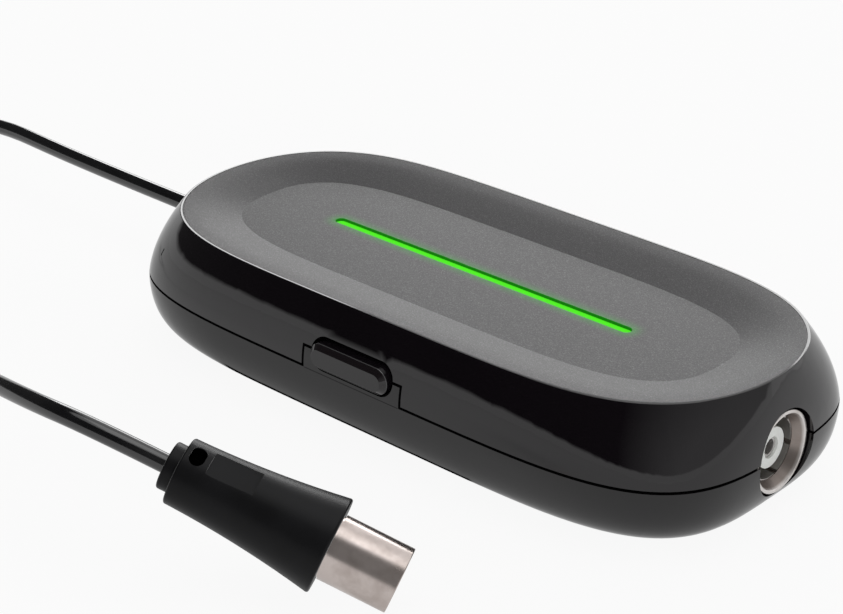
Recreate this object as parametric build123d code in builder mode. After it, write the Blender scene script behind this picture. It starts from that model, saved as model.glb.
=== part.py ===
# Aerial signal amplifier: an oval two-piece casing, a lit bar in a dished top panel, one push
# button, an aerial socket in the right end and a captive lead with an aerial plug at the left end.
# X runs along the casing towards the socket, the button faces -Y, Z is up, and the origin lies
# on the resting surface under the middle of the casing. Lengths are in millimetres.
import os
from math import asin, copysign, cos, pi, radians, sin, tan, tau

from build123d import *

os.makedirs("parts", exist_ok=True)

# Casing outline: full lengths and widths at the rim, at the seam and at the flat base
rim_length = 113.6
rim_width = 50.7
seam_length = 118.7
seam_width = 57.6
base_length = 105.0
base_width = 41.8
rim_height = 22.3
seam_height = 11.05
base_height = 0.5

# Roundness of the outline and of the lower flank, as powers without a unit
end_power = 5.1
seam_side_power = 3.3
rim_side_power = 2.0
dish_side_power = 2.6
flank_power = 2.4
outline_points = 48
loft_steps = 6

# Casing walls and gaps
upper_wall = 1.9
lower_wall = 2.4
floor_thickness = 2.0
deck_thickness = 1.1
seam_gap = 0.45
rim_lip = 0.35
rim_round = 0.15
tongue_gap = 0.25
tongue_thickness = 0.9
tongue_root = 2.0
tongue_rise = 1.6
fit_gap = 0.05
part_gap = 0.15
free_gap = 0.3
overrun = 4.0

# Top panel: a shallow dish, its border level at the edge and rolling over into a slope
dish_depth = 1.85
slope_width = 9.5
roll_share = 0.4
edge_fall_share = 0.25
edge_land = 0.2
panel_thickness = 1.1
panel_drop = 0.05

# Light bar and what lights it
bar_length = 61.3
bar_width = 2.0
bar_recess = 0.5
bar_flange = 1.3
bar_flange_thickness = 0.6
guide_width = 1.8
guide_end_gap = 0.7
guide_leg_width = 6.0
guide_leg_height = 2.6
diode_count = 4
diode_spacing = 15.0
diode_length = 3.2
diode_width = 1.6
diode_height = 1.2

# Button and its switch
button_height = 14.4
opening_width = 17.0
opening_height = 5.5
button_gap = 0.55
button_drop = 0.1
button_proud = 1.45
button_bevel = 0.8
button_round = 0.12
button_flange = 1.2
button_flange_thickness = 1.0
button_flange_set_back = 3.2
button_travel = 0.6
stem_radius = 1.4
tab_width = 19.8
tab_height = 3.4
switch_width = 6.0
switch_depth = 3.5
switch_rise = 3.4
plunger_radius = 1.2
plunger_reach = 1.2
plunger_depth = 0.8

# Circuit board
board_length = 78.0
board_width = 44.0
board_thickness = 1.6
board_top = 10.0
board_corner = 3.0
board_post_x = 34.0
board_post_y = 17.0
board_post_radius = 2.6

# Screws, posts and feet
case_post_x = 43.0
case_post_y = 12.5
case_post_radius = 3.2
boss_radius = 2.8
post_gap = 0.1
post_rise = 5.7
case_screw_radius = 1.1
case_head_radius = 2.0
case_head_height = 1.6
case_screw_length = 12.0
case_head_seat = 3.1
board_screw_radius = 0.9
board_head_radius = 1.8
board_head_height = 1.2
board_screw_length = 5.5
screw_hole_gap = 0.25
drive_width = 0.5
drive_depth = 0.5
foot_radius = 3.6
foot_recess = 0.8
foot_round = 0.3

# Aerial socket in the right end
socket_height = 10.6
socket_face = 58.4
socket_lip_radius = 6.5
socket_mouth_radius = 5.95
socket_throat_radius = 4.95
socket_lip_round = 0.22
socket_funnel_depth = 1.65
socket_opening_radius = 6.85
collar_radius = 7.4
collar_set_back = 3.45
collar_thickness = 1.2
tube_radius = 5.75
tube_bore_radius = 5.25
tube_length = 13.45
aerial_bore_radius = 4.79
sleeve_radius = 5.2
sleeve_length = 9.0
slit_count = 6
slit_width = 0.8
slit_length = 5.2
slit_start_angle = 48
core_radius = 3.2
core_set_back = 1.9
core_bore_radius = 1.7
core_disc_thickness = 1.8
pin_bore_radius = 1.2
pin_tube_radius = 1.65
pin_tube_set_back = 0.4
tail_radius = 0.55
tail_reach = 6.0
cradle_thickness = 2.0
cradle_width = 17.0

# Signal parts on the board
shield_x = 17.5
shield_y = 11.0
shield_length = 23.0
shield_width = 13.0
shield_height = 3.6
shield_thickness = 0.4
vent_radius = 0.6
vent_spacing = 4.5
chip_x = 12.0
chip_length = 5.0
chip_width = 4.0
chip_height = 1.1
winding_x = 22.0
winding_length = 4.0
winding_radius = 1.4
winding_bore = 0.9
winding_spacing = 3.6
ferrite_x = 33.0
ferrite_y = 6.6
ferrite_length = 6.0
ferrite_width = 5.0
ferrite_height = 4.0
ferrite_hole_radius = 0.8
ferrite_hole_spacing = 2.6

# Supply parts on the board
capacitor_x = -30.0
capacitor_y = 8.5
capacitor_radius = 2.5
capacitor_height = 5.6
regulator_x = -12.0
regulator_y = 9.0
regulator_length = 6.5
regulator_width = 3.5
regulator_height = 1.7
jack_x = -22.0
jack_width = 7.5
jack_height = 6.5
jack_depth = 10.0
jack_front = 23.0
barrel_radius = 2.9
barrel_reach = 4.4
barrel_bore_radius = 1.75
barrel_bore_depth = 9.0
supply_pin_radius = 0.65
supply_pin_set_back = 1.0

# Captive lead: gland, clamp and cable
cable_diameter = 2.8
cable_height = 12.1
gland_face = 63.4
gland_radius = 2.8
gland_neck_radius = 2.35
gland_flange_radius = 3.6
gland_flange_thickness = 1.5
gland_flange_face = 56.0
gland_round = 0.5
gland_wall_gap = 0.2
tail_end = 44.6
core_wire_radius = 0.4
core_wire_level = 2.8
core_wire_drop = 3.2
core_wire_landing = 3.0
clamp_x = -49.0
clamp_thickness = 4.0
clamp_post_y = 5.0
clamp_post_radius = 2.2
clamp_crown = 1.2
clamp_side = 7.3

# Stored coil of cable, wound inwards above and outwards below
coil_x = -156.5
coil_radius = 19.2
coil_pitch = 3.3
coil_half_turns = 11
coil_layer_step = 3.3
tie_thickness = 0.6
tie_width = 3.0
tie_slack = 0.6

# Route of the lead between its ends, first to the coil and then on to the plug
bend_share = 0.45
lead_route = [(-97.0, 0, 12.1), (-130.0, 2.3, 11.9), (-145.0, 0, 5.35)]
plug_route = [
    (-141.0, -41.7, 2.05),
    (-123.0, -47.0, 1.7),
    (-101.0, -55.0, 3.0),
    (-80.0, -62.0, 7.0),
    (-58.0, -67.5, 12.5),
    (-36.0, -71.0, 17.0),
    (-16.3, -75.8, 21.5),
]
lead_knee_reach = 12.0

# Aerial plug on the lead, standing on the edge of its sleeve
plug_tip_x = 34.53
plug_tip_y = -54.96
plug_turn = 28
plug_dip = 22
plug_sleeve_radius = 4.75
plug_sleeve_bore = 4.1
plug_sleeve_length = 10.4
plug_sleeve_root = 4.0
plug_neck_radius = 4.5
plug_neck_reach = 0.2
plug_front_radius = 7.0
plug_waist_radius = 5.3
plug_rear_radius = 4.85
plug_body_length = 22.9
plug_waist_share = 0.4
plug_collar_radius = 3.45
plug_collar_length = 1.8
plug_round = 0.35
plug_pin_radius = 1.18
plug_pin_set_back = 0.8
plug_disc_depth = 9.6
grip_tilt = 72
grip_length = 7.0
grip_width = 4.0
grip_depth = 0.25
grip_from_rear = 7.3
eye_length = 3.2
eye_width = 2.2
eye_depth = 1.6
eye_from_rear = 1.9

# Levels and places worked out from the sizes above
upper_foot = seam_height + seam_gap
panel_inset = rim_lip + fit_gap
panel_top = rim_height - panel_drop
panel_floor = rim_height - dish_depth
panel_bottom = panel_floor - panel_thickness
deck_bottom = panel_bottom - deck_thickness
floor_top = base_height + floor_thickness
board_bottom = board_top - board_thickness
tab_top = seam_height + tab_height
post_top = floor_top + post_rise
cable_radius = cable_diameter / 2
lead_seat = cable_height - cable_radius - fit_gap
case_points = [(x, y) for x in (-case_post_x, case_post_x) for y in (-case_post_y, case_post_y)]
board_points = [(x, y) for x in (-board_post_x, board_post_x) for y in (-board_post_y, board_post_y)]
clamp_points = [(clamp_x, -clamp_post_y), (clamp_x, clamp_post_y)]
socket_axis = Axis((0, 0, socket_height), (1, 0, 0))
switch_height = board_top + switch_rise
plug_tip_height = plug_sleeve_radius * cos(radians(plug_dip)) + fit_gap
plug_tip = Vector(plug_tip_x, plug_tip_y, plug_tip_height)
plug_heading = Vector(1, 0, 0).rotate(Axis.Y, plug_dip).rotate(Axis.Z, plug_turn)
plug_upward = Vector(0, 0, 1).rotate(Axis.Y, plug_dip).rotate(Axis.Z, plug_turn)
plug_place = Plane(origin=plug_tip, x_dir=plug_heading, z_dir=plug_upward).location
on_floor = (Align.CENTER, Align.CENTER, Align.MIN)


def half_sizes(height):
    """Half length, half width and side power of the casing's outline at a height."""
    if height >= seam_height:
        rise = (height - seam_height) / (rim_height - seam_height)
        swell = 1 - rise**2
        half_length = (rim_length + (seam_length - rim_length) * swell) / 2
        half_width = (rim_width + (seam_width - rim_width) * swell) / 2
        return half_length, half_width, seam_side_power + (rim_side_power - seam_side_power) * rise
    fall = min(1, (seam_height - height) / (seam_height - base_height))
    tuck = 1 - (1 - fall**flank_power) ** (1 / flank_power)
    half_length = (seam_length + (base_length - seam_length) * tuck) / 2
    half_width = (seam_width + (base_width - seam_width) * tuck) / 2
    return half_length, half_width, seam_side_power


def casing_section(height, inset=0, outline_height=None, side_power=None):
    """The casing's outline, drawn in by an inset, on the plane at a height."""
    shape_height = height if outline_height is None else outline_height
    half_length, half_width, own_power = half_sizes(shape_height)
    side_power = own_power if side_power is None else side_power
    points = []
    for step in range(outline_points):
        turn = tau * step / outline_points
        spread = max(0, 1 - abs(sin(turn)) ** end_power) ** (1 / side_power)
        across = copysign((half_width - inset) * spread, cos(turn))
        points.append(((half_length - inset) * sin(turn), across))
    with BuildSketch(Plane.XY.offset(height)) as section:
        with BuildLine():
            Spline(*points, periodic=True)
        make_face()
    return section.sketch


def upper_sections(bottom, top, inset=0):
    """Sections of the upper casing from one height up to another."""
    rises = [step / loft_steps for step in range(loft_steps + 1)]
    return [casing_section(bottom + (top - bottom) * rise, inset) for rise in rises]


def lower_sections(bottom, inset=0):
    """Sections of the lower casing from the seam down to a height, closer where it turns in."""
    depth = seam_height - base_height
    last = asin(((seam_height - bottom) / depth) ** (flank_power / 2))
    falls = [sin(last * step / loft_steps) ** (2 / flank_power) for step in range(loft_steps + 1)]
    return [casing_section(seam_height - depth * fall, inset) for fall in falls]


def border_fall(run):
    """How far the dish's border has fallen at a share of its width from the rim, both as shares."""
    rolled = min(run, roll_share)
    return rolled * (edge_fall_share + (1 - edge_fall_share) * rolled / roll_share / 2) + run - rolled


def dish_section(run):
    """Section of the dish at a share of its border's width from the rim."""
    height = panel_top - (panel_top - panel_floor) * border_fall(run) / border_fall(1)
    power = rim_side_power + (dish_side_power - rim_side_power) * run
    return casing_section(height, panel_inset + edge_land + slope_width * run, rim_height, power)


def cross_plane(x):
    """The plane across the casing at a place along X, with Y to its right and Z up."""
    return Plane.YZ.offset(x)


# Lower shell: tub, locating tongue, button tab, posts, cradle and holes
with BuildPart() as button_tab:
    loft(upper_sections(seam_height, tab_top))
    loft(upper_sections(seam_height, tab_top, upper_wall), mode=Mode.SUBTRACT)
    with Locations((0, -seam_width / 2, seam_height)):
        Box(tab_width, 4 * upper_wall, tab_height, align=on_floor, mode=Mode.INTERSECT)

tongue_inset = upper_wall + tongue_gap
tongue_inner = tongue_inset + tongue_thickness
with BuildPart() as tongue:
    loft(upper_sections(seam_height, seam_height + tongue_rise, tongue_inset))
    extrude(casing_section(seam_height, tongue_inset), amount=-tongue_root)
    loft(upper_sections(seam_height, seam_height + tongue_rise, tongue_inner), mode=Mode.SUBTRACT)
    extrude(casing_section(seam_height, tongue_inner), amount=-tongue_root, mode=Mode.SUBTRACT)
    with Locations((0, -seam_width / 2, seam_height + tongue_rise)):
        gate_width = opening_width + 2 * (button_flange + button_gap)
        Box(gate_width, 4 * lower_wall, 2 * (tongue_rise + tongue_root), mode=Mode.SUBTRACT)

with BuildPart() as lower_shell:
    loft(lower_sections(base_height))
    loft(lower_sections(floor_top, lower_wall), mode=Mode.SUBTRACT)
    add(tongue.part)
    add(button_tab.part)
    with BuildSketch(Plane.XY.offset(floor_top)):
        with Locations(*case_points):
            Circle(case_post_radius)
    extrude(amount=post_rise)
    with BuildSketch(Plane.XY.offset(floor_top)):
        with Locations(*board_points):
            Circle(board_post_radius)
    extrude(amount=board_bottom - floor_top)
    with BuildSketch(Plane.XY.offset(floor_top)):
        with Locations(*clamp_points):
            Circle(clamp_post_radius)
        with Locations((clamp_x, 0)):
            Rectangle(clamp_thickness, 2 * clamp_post_y)
    extrude(amount=lead_seat - floor_top)
    cradle_front = socket_face - collar_set_back - collar_thickness - free_gap
    with Locations((cradle_front - cradle_thickness / 2, 0, floor_top)):
        Box(cradle_thickness, cradle_width, socket_height - floor_top, align=on_floor)
    with BuildSketch(cross_plane(cradle_front)):
        with Locations((0, socket_height)):
            Circle(tube_radius + part_gap)
    extrude(amount=-cradle_thickness, mode=Mode.SUBTRACT)
    with BuildSketch(Plane.XY.offset(base_height)):
        with Locations(*case_points):
            Circle(foot_radius + part_gap)
    extrude(amount=foot_recess, mode=Mode.SUBTRACT)
    with BuildSketch(Plane.XY.offset(base_height)):
        with Locations(*case_points):
            Circle(case_head_radius + screw_hole_gap)
    extrude(amount=case_head_seat - base_height, mode=Mode.SUBTRACT)
    with BuildSketch(Plane.XY.offset(base_height)):
        with Locations(*case_points):
            Circle(case_screw_radius + screw_hole_gap)
    extrude(amount=post_top, mode=Mode.SUBTRACT)
    with BuildSketch(Plane.XY.offset(board_bottom)):
        with Locations(*board_points):
            Circle(board_screw_radius + fit_gap)
    extrude(amount=-(board_screw_length - board_thickness + free_gap), mode=Mode.SUBTRACT)
    with BuildSketch(Plane.XY.offset(lead_seat)):
        with Locations(*clamp_points):
            Circle(board_screw_radius + fit_gap)
    extrude(amount=-(board_screw_length + free_gap), mode=Mode.SUBTRACT)
    with BuildSketch(cross_plane(socket_face - collar_set_back + free_gap)):
        with Locations((0, socket_height)):
            Circle(socket_opening_radius)
    extrude(amount=seam_length, mode=Mode.SUBTRACT)
    with BuildSketch(cross_plane(-gland_flange_face)):
        with Locations((0, cable_height)):
            Circle(gland_neck_radius + part_gap)
    extrude(amount=-seam_length, mode=Mode.SUBTRACT)
    with BuildSketch(Plane.XZ.offset(board_width / 2)):
        with Locations((0, button_height)):
            SlotOverall(opening_width, opening_height)
    extrude(amount=seam_width, mode=Mode.SUBTRACT)
    with BuildSketch(Plane.XZ.offset(-jack_front)):
        with Locations((jack_x, board_top + jack_height / 2)):
            Circle(barrel_radius + part_gap)
    extrude(amount=-seam_width, mode=Mode.SUBTRACT)
lower_shell.part.label = "lower_shell"
export_step(lower_shell.part, "parts/lower_shell.step")

# Upper shell: skirt, deck with the panel's seat, bosses, cradle and holes
with BuildPart() as upper_shell:
    loft(upper_sections(upper_foot, rim_height))
    loft(upper_sections(upper_foot, deck_bottom, upper_wall), mode=Mode.SUBTRACT)
    add(casing_section(panel_bottom, rim_lip, rim_height))
    extrude(amount=dish_depth + panel_thickness, mode=Mode.SUBTRACT)
    with BuildSketch(Plane.XY.offset(deck_bottom)):
        with Locations(*case_points):
            Circle(boss_radius)
    extrude(amount=-(deck_bottom - post_top - post_gap))
    with BuildSketch(Plane.XY.offset(post_top)):
        with Locations(*case_points):
            Circle(case_screw_radius + fit_gap)
    extrude(amount=case_head_seat + case_screw_length + free_gap - post_top, mode=Mode.SUBTRACT)
    with Locations((cradle_front - cradle_thickness / 2, 0, socket_height + free_gap)):
        cradle_rise = deck_bottom - socket_height - free_gap
        Box(cradle_thickness, cradle_width, cradle_rise, align=on_floor)
    with BuildSketch(cross_plane(cradle_front)):
        with Locations((0, socket_height)):
            Circle(tube_radius + part_gap)
    extrude(amount=-cradle_thickness, mode=Mode.SUBTRACT)
    with BuildSketch(Plane.XY.offset(panel_bottom)):
        SlotOverall(bar_length + 2 * bar_flange, bar_width + 2 * bar_flange)
    extrude(amount=-bar_flange_thickness, mode=Mode.SUBTRACT)
    with BuildSketch(Plane.XY.offset(panel_bottom)):
        SlotOverall(bar_length, bar_width + part_gap)
    extrude(amount=-deck_thickness, mode=Mode.SUBTRACT)
    with BuildSketch(cross_plane(socket_face - collar_set_back + free_gap)):
        with Locations((0, socket_height)):
            Circle(socket_opening_radius)
    extrude(amount=seam_length, mode=Mode.SUBTRACT)
    with BuildSketch(cross_plane(-gland_flange_face)):
        with Locations((0, cable_height)):
            Circle(gland_neck_radius + part_gap)
    extrude(amount=-seam_length, mode=Mode.SUBTRACT)
    with BuildSketch(Plane.XZ.offset(board_width / 2)):
        with Locations((0, button_height)):
            SlotOverall(opening_width, opening_height)
    extrude(amount=seam_width, mode=Mode.SUBTRACT)
    with Locations((0, -seam_width / 2, seam_height)):
        notch_width = tab_width + 2 * seam_gap
        Box(notch_width, 4 * upper_wall, tab_height + seam_gap, align=on_floor, mode=Mode.SUBTRACT)
    with BuildSketch(Plane.XZ.offset(-jack_front)):
        with Locations((jack_x, board_top + jack_height / 2)):
            Circle(barrel_radius + part_gap)
    extrude(amount=-seam_width, mode=Mode.SUBTRACT)
    rim_edges = upper_shell.edges().filter_by_position(Axis.Z, rim_height - fit_gap, rim_height + fit_gap)
    fillet(rim_edges.sort_by(SortBy.LENGTH)[-1], rim_round)
upper_shell.part.label = "upper_shell"
export_step(upper_shell.part, "parts/upper_shell.step")

# Top panel: a flat-bottomed dish with a slot for the light bar
with BuildPart() as top_panel:
    add(casing_section(panel_bottom, panel_inset, rim_height))
    extrude(amount=panel_top - panel_bottom)
    loft([dish_section(step / loft_steps) for step in range(loft_steps + 1)], mode=Mode.SUBTRACT)
    with BuildSketch(Plane.XY.offset(panel_bottom)):
        SlotOverall(bar_length, bar_width)
    extrude(amount=panel_thickness + dish_depth, mode=Mode.SUBTRACT)
top_panel.part.label = "top_panel"
export_step(top_panel.part, "parts/top_panel.step")

# Light bar: a flanged strip seated in the deck, filling the panel's slot
with BuildPart() as light_bar:
    flange_play = 2 * (bar_flange - part_gap)
    with BuildSketch(Plane.XY.offset(panel_bottom - bar_flange_thickness)):
        SlotOverall(bar_length + flange_play, bar_width + flange_play)
    extrude(amount=bar_flange_thickness)
    with BuildSketch(Plane.XY.offset(panel_bottom)):
        SlotOverall(bar_length - 2 * fit_gap, bar_width - 2 * fit_gap)
    extrude(amount=panel_thickness - bar_recess)
light_bar.part.label = "light_bar"
export_step(light_bar.part, "parts/light_bar.step")

# Light guide: a clear blade under the bar, with a leg over each diode
guide_top = panel_bottom - bar_flange_thickness
guide_bottom = board_top + diode_height + free_gap
diode_places = GridLocations(diode_spacing, diode_spacing, diode_count, 1).locations
with BuildPart() as light_guide:
    blade_length = bar_length - bar_width - guide_end_gap
    with Locations((0, 0, guide_bottom + guide_leg_height)):
        Box(blade_length, guide_width, guide_top - guide_bottom - guide_leg_height, align=on_floor)
    with Locations(*[(place.position.X, 0, guide_bottom) for place in diode_places]):
        Box(guide_leg_width, guide_width, guide_leg_height, align=on_floor)
light_guide.part.label = "light_guide"
export_step(light_guide.part, "parts/light_guide.step")

# Circuit board, with a hole at each of its screws
with BuildPart() as circuit_board:
    with BuildSketch(Plane.XY.offset(board_bottom)):
        RectangleRounded(board_length, board_width, board_corner)
        with Locations(*board_points):
            Circle(board_screw_radius + screw_hole_gap, mode=Mode.SUBTRACT)
    extrude(amount=board_thickness)
circuit_board.part.label = "circuit_board"
export_step(circuit_board.part, "parts/circuit_board.step")

# Green diodes in a row under the light guide
with BuildPart() as light_diodes:
    with Locations(*[(place.position.X, 0, board_top) for place in diode_places]):
        Box(diode_length, diode_width, diode_height, align=on_floor)
light_diodes.part.label = "light_diodes"
export_step(light_diodes.part, "parts/light_diodes.step")

# Button cap: a pill that stands proud of the skirt, a hidden flange and a stem to the switch
button_rise = half_sizes(button_height)[1]
cap_face = button_rise + button_proud
flange_front = button_rise - button_flange_set_back
stem_end = board_width / 2 - free_gap - fit_gap + plunger_reach
switch_front = stem_end - plunger_reach
with BuildPart() as button_cap:
    with BuildSketch(Plane.XZ.offset(flange_front)):
        with Locations((0, button_height - button_drop)):
            SlotOverall(opening_width - 2 * button_gap, opening_height - 2 * button_gap)
    extrude(amount=cap_face - flange_front)
    chamfer(button_cap.faces().sort_by(Axis.Y)[0].edges(), button_bevel)
    front_edges = button_cap.edges().group_by(Axis.Y)
    fillet(front_edges[0] + front_edges[2], button_round)
    with BuildSketch(Plane.XZ.offset(flange_front - button_flange_thickness)):
        with Locations((0, button_height)):
            flange_spread = 2 * (button_flange - button_gap)
            SlotOverall(opening_width + flange_spread, opening_height + flange_spread)
    extrude(amount=button_flange_thickness)
    with BuildSketch(Plane.XZ.offset(stem_end)):
        with Locations((0, switch_height)):
            Circle(stem_radius)
    extrude(amount=flange_front - button_flange_thickness - stem_end)
button_cap.part.label = "button_cap"
export_step(button_cap.part, "parts/button_cap.step")

# Push switch: a bored body on the board and the plunger that the cap's stem presses
with BuildPart() as switch_body:
    with Locations((0, -switch_front + switch_depth / 2, board_top)):
        Box(switch_width, switch_depth, 2 * switch_rise, align=on_floor)
    with BuildSketch(Plane.XZ.offset(switch_front)):
        with Locations((0, switch_height)):
            Circle(plunger_radius + fit_gap)
    extrude(amount=-(plunger_depth + 2 * button_travel), mode=Mode.SUBTRACT)
switch_body.part.label = "switch_body"
export_step(switch_body.part, "parts/switch_body.step")

with BuildPart() as switch_plunger:
    with BuildSketch(Plane.XZ.offset(stem_end)):
        with Locations((0, switch_height)):
            Circle(plunger_radius)
    extrude(amount=-(plunger_reach + plunger_depth))
switch_plunger.part.label = "switch_plunger"
export_step(switch_plunger.part, "parts/switch_plunger.step")

# Aerial socket: a lipped metal shell with a collar behind the casing's end wall
collar_front = socket_face - collar_set_back
tube_back = socket_face - tube_length
sleeve_front = socket_face - socket_funnel_depth - fit_gap
with BuildPart() as socket_shell:
    with BuildSketch(Plane.XZ) as shell_profile:
        with BuildLine():
            Polyline(
                (socket_face, socket_height + socket_mouth_radius),
                (socket_face, socket_height + socket_lip_radius),
                (collar_front, socket_height + socket_lip_radius),
                (collar_front, socket_height + collar_radius),
                (collar_front - collar_thickness, socket_height + collar_radius),
                (collar_front - collar_thickness, socket_height + tube_radius),
                (tube_back, socket_height + tube_radius),
                (tube_back, socket_height + tube_bore_radius),
                (sleeve_front, socket_height + tube_bore_radius),
                (sleeve_front, socket_height + socket_throat_radius),
                (socket_face - socket_funnel_depth, socket_height + socket_throat_radius),
                close=True,
            )
        make_face()
        fillet(shell_profile.vertices().sort_by(Axis.X)[-2:], socket_lip_round)
    revolve(axis=socket_axis)
socket_shell.part.label = "socket_shell"
export_step(socket_shell.part, "parts/socket_shell.step")

# Contact sleeve inside the socket, slit from its front end into springy fingers
with BuildPart() as contact_sleeve:
    with BuildSketch(cross_plane(sleeve_front - fit_gap)):
        with Locations((0, socket_height)):
            Circle(sleeve_radius)
            Circle(aerial_bore_radius, mode=Mode.SUBTRACT)
    extrude(amount=-sleeve_length)
    with BuildSketch(cross_plane(sleeve_front)):
        with Locations((0, socket_height)):
            with PolarLocations(aerial_bore_radius, slit_count, slit_start_angle):
                Rectangle(sleeve_radius, slit_width)
    extrude(amount=-slit_length, mode=Mode.SUBTRACT)
contact_sleeve.part.label = "contact_sleeve"
export_step(contact_sleeve.part, "parts/contact_sleeve.step")

# White insulator: a core with a bore, on a disc that closes the shell
core_front = socket_face - core_set_back
disc_front = sleeve_front - fit_gap - sleeve_length - fit_gap
with BuildPart() as socket_insulator:
    with BuildSketch(cross_plane(core_front)):
        with Locations((0, socket_height)):
            Circle(core_radius)
    extrude(amount=disc_front - core_front)
    with BuildSketch(cross_plane(disc_front)):
        with Locations((0, socket_height)):
            Circle(sleeve_radius)
    extrude(amount=-core_disc_thickness)
    with BuildSketch(cross_plane(core_front)):
        with Locations((0, socket_height)):
            Circle(core_bore_radius)
    extrude(amount=disc_front - core_disc_thickness - core_front, mode=Mode.SUBTRACT)
socket_insulator.part.label = "socket_insulator"
export_step(socket_insulator.part, "parts/socket_insulator.step")

# Centre contact: a tube that takes the plug's pin, and a tail that lies on the board
contact_front = core_front - pin_tube_set_back
contact_back = disc_front - core_disc_thickness
with BuildPart() as socket_contact:
    with BuildSketch(cross_plane(contact_front)):
        with Locations((0, socket_height)):
            Circle(pin_tube_radius)
    extrude(amount=contact_back - contact_front)
    with BuildSketch(cross_plane(contact_front)):
        with Locations((0, socket_height)):
            Circle(pin_bore_radius)
    extrude(amount=disc_front - contact_front, mode=Mode.SUBTRACT)
    with BuildSketch(cross_plane(contact_back)):
        with Locations((0, socket_height)):
            Circle(tail_radius)
    extrude(amount=-(contact_back - board_length / 2 + tail_reach))
socket_contact.part.label = "socket_contact"
export_step(socket_contact.part, "parts/socket_contact.step")

# Shield can over the amplifier: a frame on the board and a vented lid
with BuildPart() as shield_frame:
    with BuildSketch(Plane.XY.offset(board_top)):
        with Locations((shield_x, shield_y)):
            Rectangle(shield_length, shield_width)
            inner_length = shield_length - 2 * shield_thickness
            Rectangle(inner_length, shield_width - 2 * shield_thickness, mode=Mode.SUBTRACT)
    extrude(amount=shield_height)
shield_frame.part.label = "shield_frame"
export_step(shield_frame.part, "parts/shield_frame.step")

with BuildPart() as shield_lid:
    with BuildSketch(Plane.XY.offset(board_top + shield_height)):
        with Locations((shield_x, shield_y)):
            Rectangle(shield_length, shield_width)
            with GridLocations(vent_spacing, vent_spacing, 4, 2):
                Circle(vent_radius, mode=Mode.SUBTRACT)
    extrude(amount=shield_thickness)
shield_lid.part.label = "shield_lid"
export_step(shield_lid.part, "parts/shield_lid.step")

# Amplifier chip and the row of small windings beside it
with BuildPart() as amplifier_chip:
    with Locations((chip_x, shield_y, board_top)):
        Box(chip_length, chip_width, chip_height, align=on_floor)
amplifier_chip.part.label = "amplifier_chip"
export_step(amplifier_chip.part, "parts/amplifier_chip.step")

with BuildPart() as filter_windings:
    with BuildSketch(cross_plane(winding_x)):
        with Locations((shield_y, board_top + winding_radius)):
            with GridLocations(winding_spacing, winding_spacing, 3, 1):
                Circle(winding_radius)
                Circle(winding_bore, mode=Mode.SUBTRACT)
    extrude(amount=winding_length)
filter_windings.part.label = "filter_windings"
export_step(filter_windings.part, "parts/filter_windings.step")

# Ferrite core beside the socket, with two holes along X
with BuildPart() as ferrite_core:
    with Locations((ferrite_x, ferrite_y, board_top)):
        Box(ferrite_length, ferrite_width, ferrite_height, align=on_floor)
    with BuildSketch(cross_plane(ferrite_x - ferrite_length / 2)):
        with Locations((ferrite_y, board_top + ferrite_height / 2)):
            with GridLocations(ferrite_hole_spacing, ferrite_hole_spacing, 2, 1):
                Circle(ferrite_hole_radius)
    extrude(amount=ferrite_length, mode=Mode.SUBTRACT)
ferrite_core.part.label = "ferrite_core"
export_step(ferrite_core.part, "parts/ferrite_core.step")

# Supply parts: two capacitors and the regulator
with BuildPart() as capacitors:
    with Locations((capacitor_x, -capacitor_y, board_top), (capacitor_x, capacitor_y, board_top)):
        Cylinder(capacitor_radius, capacitor_height, align=on_floor)
    fillet(capacitors.edges().group_by(Axis.Z)[-1], free_gap)
capacitors.part.label = "capacitors"
export_step(capacitors.part, "parts/capacitors.step")

with BuildPart() as voltage_regulator:
    with Locations((regulator_x, regulator_y, board_top)):
        Box(regulator_length, regulator_width, regulator_height, align=on_floor)
voltage_regulator.part.label = "voltage_regulator"
export_step(voltage_regulator.part, "parts/voltage_regulator.step")

# Supply jack in the back wall: a bored block with a barrel, and its pin
jack_height_mid = board_top + jack_height / 2
barrel_face = jack_front + barrel_reach
with BuildPart() as power_jack:
    with Locations((jack_x, jack_front - jack_depth / 2, board_top)):
        Box(jack_width, jack_depth, jack_height, align=on_floor)
    with BuildSketch(Plane.XZ.offset(-jack_front)):
        with Locations((jack_x, jack_height_mid)):
            Circle(barrel_radius)
    extrude(amount=-barrel_reach)
    with BuildSketch(Plane.XZ.offset(-barrel_face)):
        with Locations((jack_x, jack_height_mid)):
            Circle(barrel_bore_radius)
    extrude(amount=barrel_bore_depth, mode=Mode.SUBTRACT)
power_jack.part.label = "power_jack"
export_step(power_jack.part, "parts/power_jack.step")

with BuildPart() as power_pin:
    with BuildSketch(Plane.XZ.offset(-(barrel_face - supply_pin_set_back))):
        with Locations((jack_x, jack_height_mid)):
            Circle(supply_pin_radius)
    extrude(amount=barrel_bore_depth - supply_pin_set_back)
power_pin.part.label = "power_pin"
export_step(power_pin.part, "parts/power_pin.step")


def slotted_screws(places, head_bottom, head_radius, head_height, shank_radius, shank_length, up):
    """Screws with a slotted head, their shanks pointing down from the head, or up if up is 1."""
    with BuildPart() as screws:
        with BuildSketch(Plane.XY.offset(head_bottom)):
            with Locations(*places):
                Circle(head_radius)
        extrude(amount=-up * head_height)
        with BuildSketch(Plane.XY.offset(head_bottom)):
            with Locations(*places):
                Circle(shank_radius)
        extrude(amount=up * shank_length)
        with BuildSketch(Plane.XY.offset(head_bottom - up * head_height)):
            with Locations(*places):
                Rectangle(2 * head_radius, drive_width)
        extrude(amount=up * drive_depth, mode=Mode.SUBTRACT)
    return screws


# Screws: four through the base, four in the board, two in the cable clamp
clamp_top = cable_height + cable_radius + fit_gap + clamp_crown
case_screws = slotted_screws(
    case_points, case_head_seat, case_head_radius, case_head_height, case_screw_radius, case_screw_length, 1
)
case_screws.part.label = "case_screws"
export_step(case_screws.part, "parts/case_screws.step")

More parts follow.
